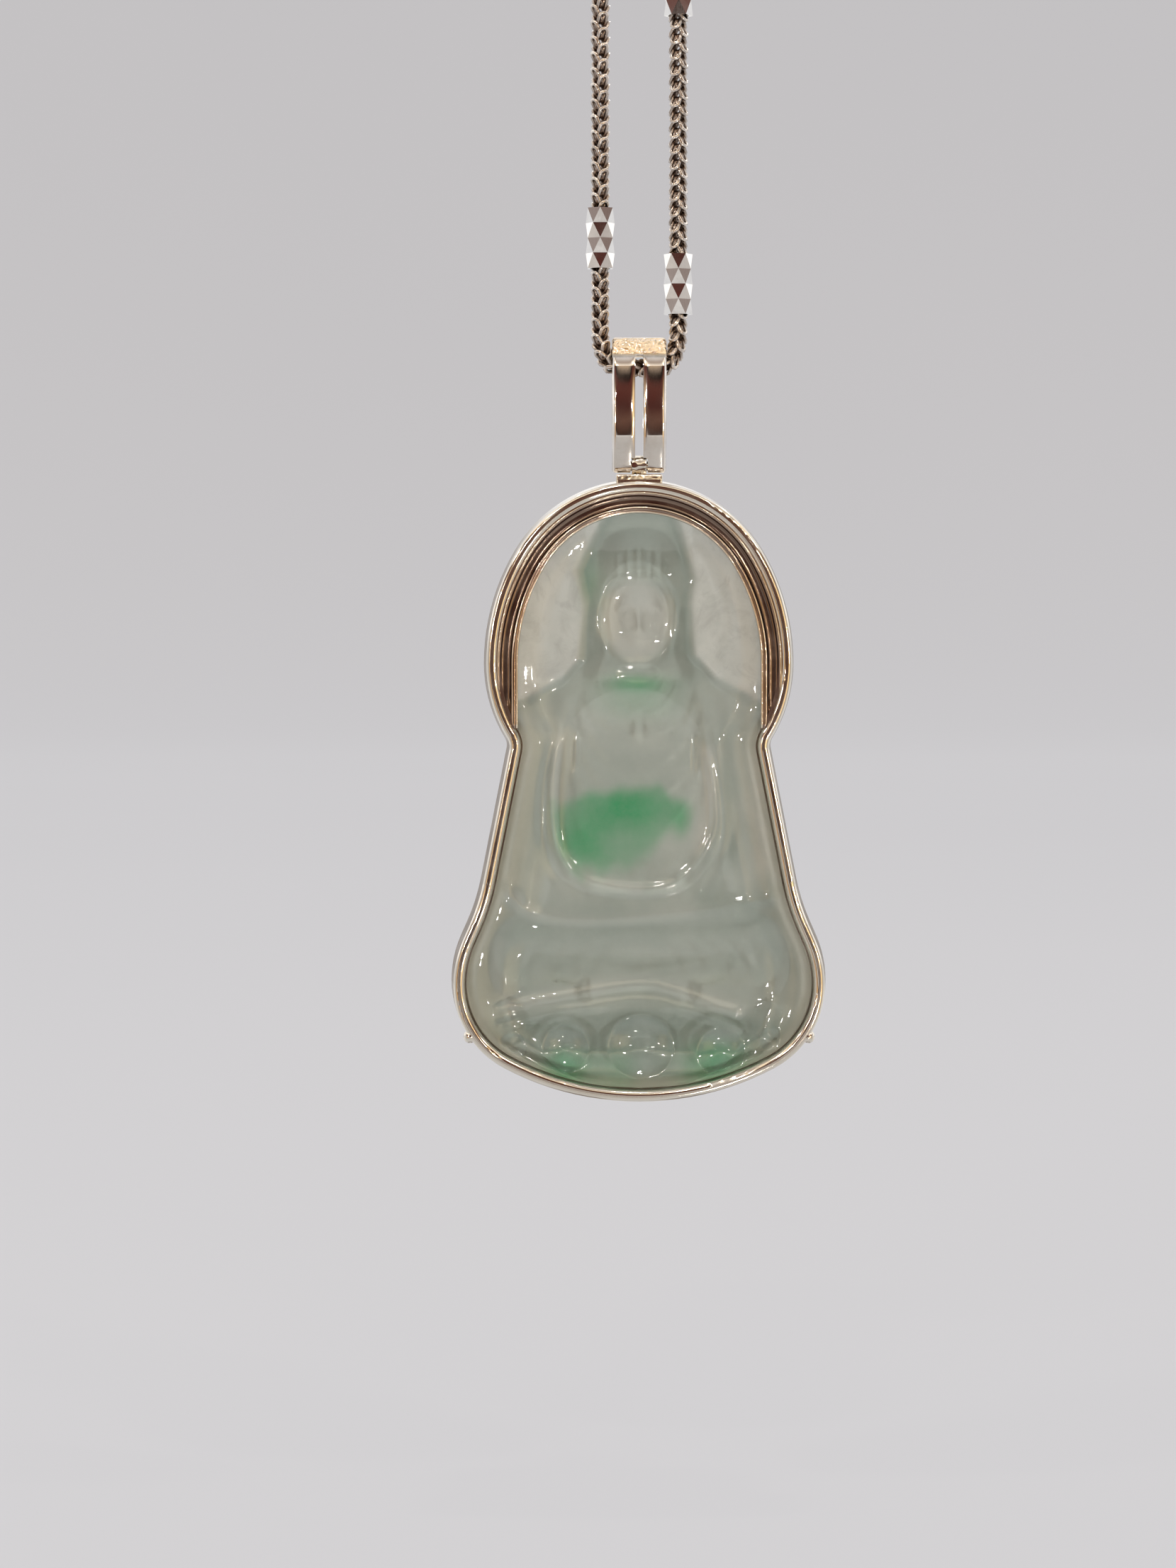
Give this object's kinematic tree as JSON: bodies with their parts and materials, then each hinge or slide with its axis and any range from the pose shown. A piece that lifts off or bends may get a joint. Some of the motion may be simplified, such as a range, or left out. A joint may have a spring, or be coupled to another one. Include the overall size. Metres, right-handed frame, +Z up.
{
  "type": "jade guanyin pendant on a chain",
  "caption": "Carved jade guanyin in an open-backed white metal setting, hinged to a slotted bail on a plaited neck chain with faceted tube beads.",
  "frame": {"origin": "where the crown of the chain's loop bears on the peg that the necklace hangs from", "axes": "+Z up, -Z along the hanging strands; +X across the pendant; +Y towards the carved front, -Y towards the open back"},
  "size_m": [0.0256, 0.005, 0.272],
  "materials": {
    "chain_metal": "fine plaited wire, polished",
    "bead_metal": "faceted, polished",
    "clasp_metal": "polished",
    "bail_metal": "polished",
    "setting_metal": "polished, warm white",
    "jade": "polished, translucent, milky with green patches"
  },
  "bodies": {
    "necklace": {"chain_upper": "chain_metal", "chain_lower": "chain_metal", "bead_01": "bead_metal", "bead_02": "bead_metal", "bead_03": "bead_metal", "bead_04": "bead_metal", "bead_05": "bead_metal", "bead_06": "bead_metal", "bead_07": "bead_metal", "bead_08": "bead_metal", "bead_09": "bead_metal", "bead_10": "bead_metal", "bead_11": "bead_metal", "bead_12": "bead_metal", "bead_13": "bead_metal", "bead_14": "bead_metal", "bead_15": "bead_metal", "bead_16": "bead_metal", "bead_17": "bead_metal", "bead_18": "bead_metal", "bead_19": "bead_metal", "bead_20": "bead_metal", "bead_21": "bead_metal", "bead_22": "bead_metal", "clasp": "clasp_metal"},
    "bail": {"bail": "bail_metal"},
    "pendant": {"setting": "setting_metal", "jade_guanyin": "jade"}
  },
  "joints": [
    {"name": "bail_swing", "type": "hinge", "parent": "necklace", "child": "bail", "pos_m": [0, 0, -0.22091], "axis": [1, 0, 0], "range_deg": [-45, 45]},
    {"name": "pendant_swing", "type": "hinge", "parent": "bail", "child": "pendant", "pos_m": [0, 0, -0.22752], "axis": [1, 0, 0], "range_deg": [-60, 60]}
  ]
}
